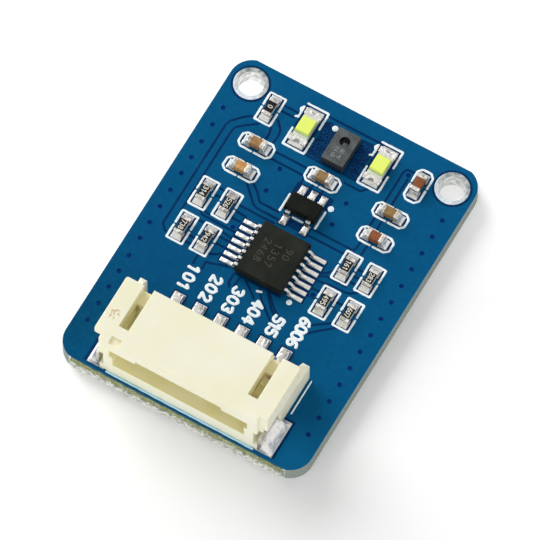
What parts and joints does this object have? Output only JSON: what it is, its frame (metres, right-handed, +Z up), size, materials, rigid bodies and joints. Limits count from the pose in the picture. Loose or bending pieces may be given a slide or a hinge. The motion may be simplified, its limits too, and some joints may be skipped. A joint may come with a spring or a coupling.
{
  "type": "light sensor module",
  "caption": "Small blue circuit module with a side-entry plug header, a dark light-sensor package between white lamps, a control chip and corner screw holes.",
  "frame": {"origin": "centre of the board outline, on its underside", "axes": "+Z up out of the parts side, +Y along the long side from the plug towards the sensor, +X to the right when looking along +Y"},
  "size_m": [0.023, 0.0314, 0.0074],
  "materials": {
    "black_epoxy": "black moulding compound, matte",
    "blue_board": "blue solder mask over glass-fibre laminate, semi-gloss",
    "capacitor_brown": "fired ceramic, satin",
    "capacitor_red_brown": "fired ceramic, satin",
    "capacitor_tan": "fired ceramic, satin",
    "clear_window": "clear window, polished",
    "ivory_nylon": "moulded ivory nylon, satin",
    "phosphor_silicone": "yellow-green phosphor silicone, satin",
    "plated_end": "tin-plated end caps",
    "plated_terminal": "tinned terminals",
    "resistor_coat": "black glassy overcoat on white ceramic",
    "sensor_resin": "dark grey moulded resin, matte",
    "silicon_die": "polished silicon",
    "solder": "bright reflowed solder",
    "tinned_brass": "tin-plated brass, satin",
    "tinned_copper": "bright solder levelled tin over copper",
    "tinned_lead": "tin-plated leads",
    "white_carrier": "white carrier, satin"
  },
  "bodies": {
    "root": {"capacitor_1_body": "capacitor_brown", "capacitor_1_ends": "plated_end", "capacitor_2_body": "capacitor_tan", "capacitor_2_ends": "plated_end", "capacitor_3_body": "capacitor_tan", "capacitor_3_ends": "plated_end", "capacitor_4_body": "capacitor_brown", "capacitor_4_ends": "plated_end", "capacitor_5_body": "capacitor_red_brown", "capacitor_5_ends": "plated_end", "capacitor_6_body": "capacitor_red_brown", "capacitor_6_ends": "plated_end", "chip_body": "black_epoxy", "chip_leads": "tinned_lead", "circuit_board": "blue_board", "contact_1": "tinned_brass", "contact_2": "tinned_brass", "contact_3": "tinned_brass", "contact_4": "tinned_brass", "contact_5": "tinned_brass", "contact_6": "tinned_brass", "contact_solder": "solder", "hole_plating_left": "tinned_copper", "hole_plating_right": "tinned_copper", "lamp_block_left": "phosphor_silicone", "lamp_block_right": "phosphor_silicone", "lamp_carrier_left": "white_carrier", "lamp_carrier_right": "white_carrier", "lamp_terminals_left": "plated_terminal", "lamp_terminals_right": "plated_terminal", "plug_housing": "ivory_nylon", "regulator_body": "black_epoxy", "regulator_leads": "tinned_lead", "resistor_1_body": "resistor_coat", "resistor_1_ends": "plated_end", "resistor_2_body": "resistor_coat", "resistor_2_ends": "plated_end", "resistor_3_body": "resistor_coat", "resistor_3_ends": "plated_end", "resistor_4_body": "resistor_coat", "resistor_4_ends": "plated_end", "resistor_5_body": "resistor_coat", "resistor_5_ends": "plated_end", "resistor_6_body": "resistor_coat", "resistor_6_ends": "plated_end", "resistor_7_body": "resistor_coat", "resistor_7_ends": "plated_end", "resistor_8_body": "resistor_coat", "resistor_8_ends": "plated_end", "resistor_9_body": "resistor_coat", "resistor_9_ends": "plated_end", "sensor_body": "sensor_resin", "sensor_die": "silicon_die", "sensor_window": "clear_window", "small_part_solder": "solder", "solder_tab_left": "tinned_brass", "solder_tab_right": "tinned_brass", "tab_solder_left": "solder", "tab_solder_right": "solder", "tinned_lands": "tinned_copper"}
  },
  "joints": []
}
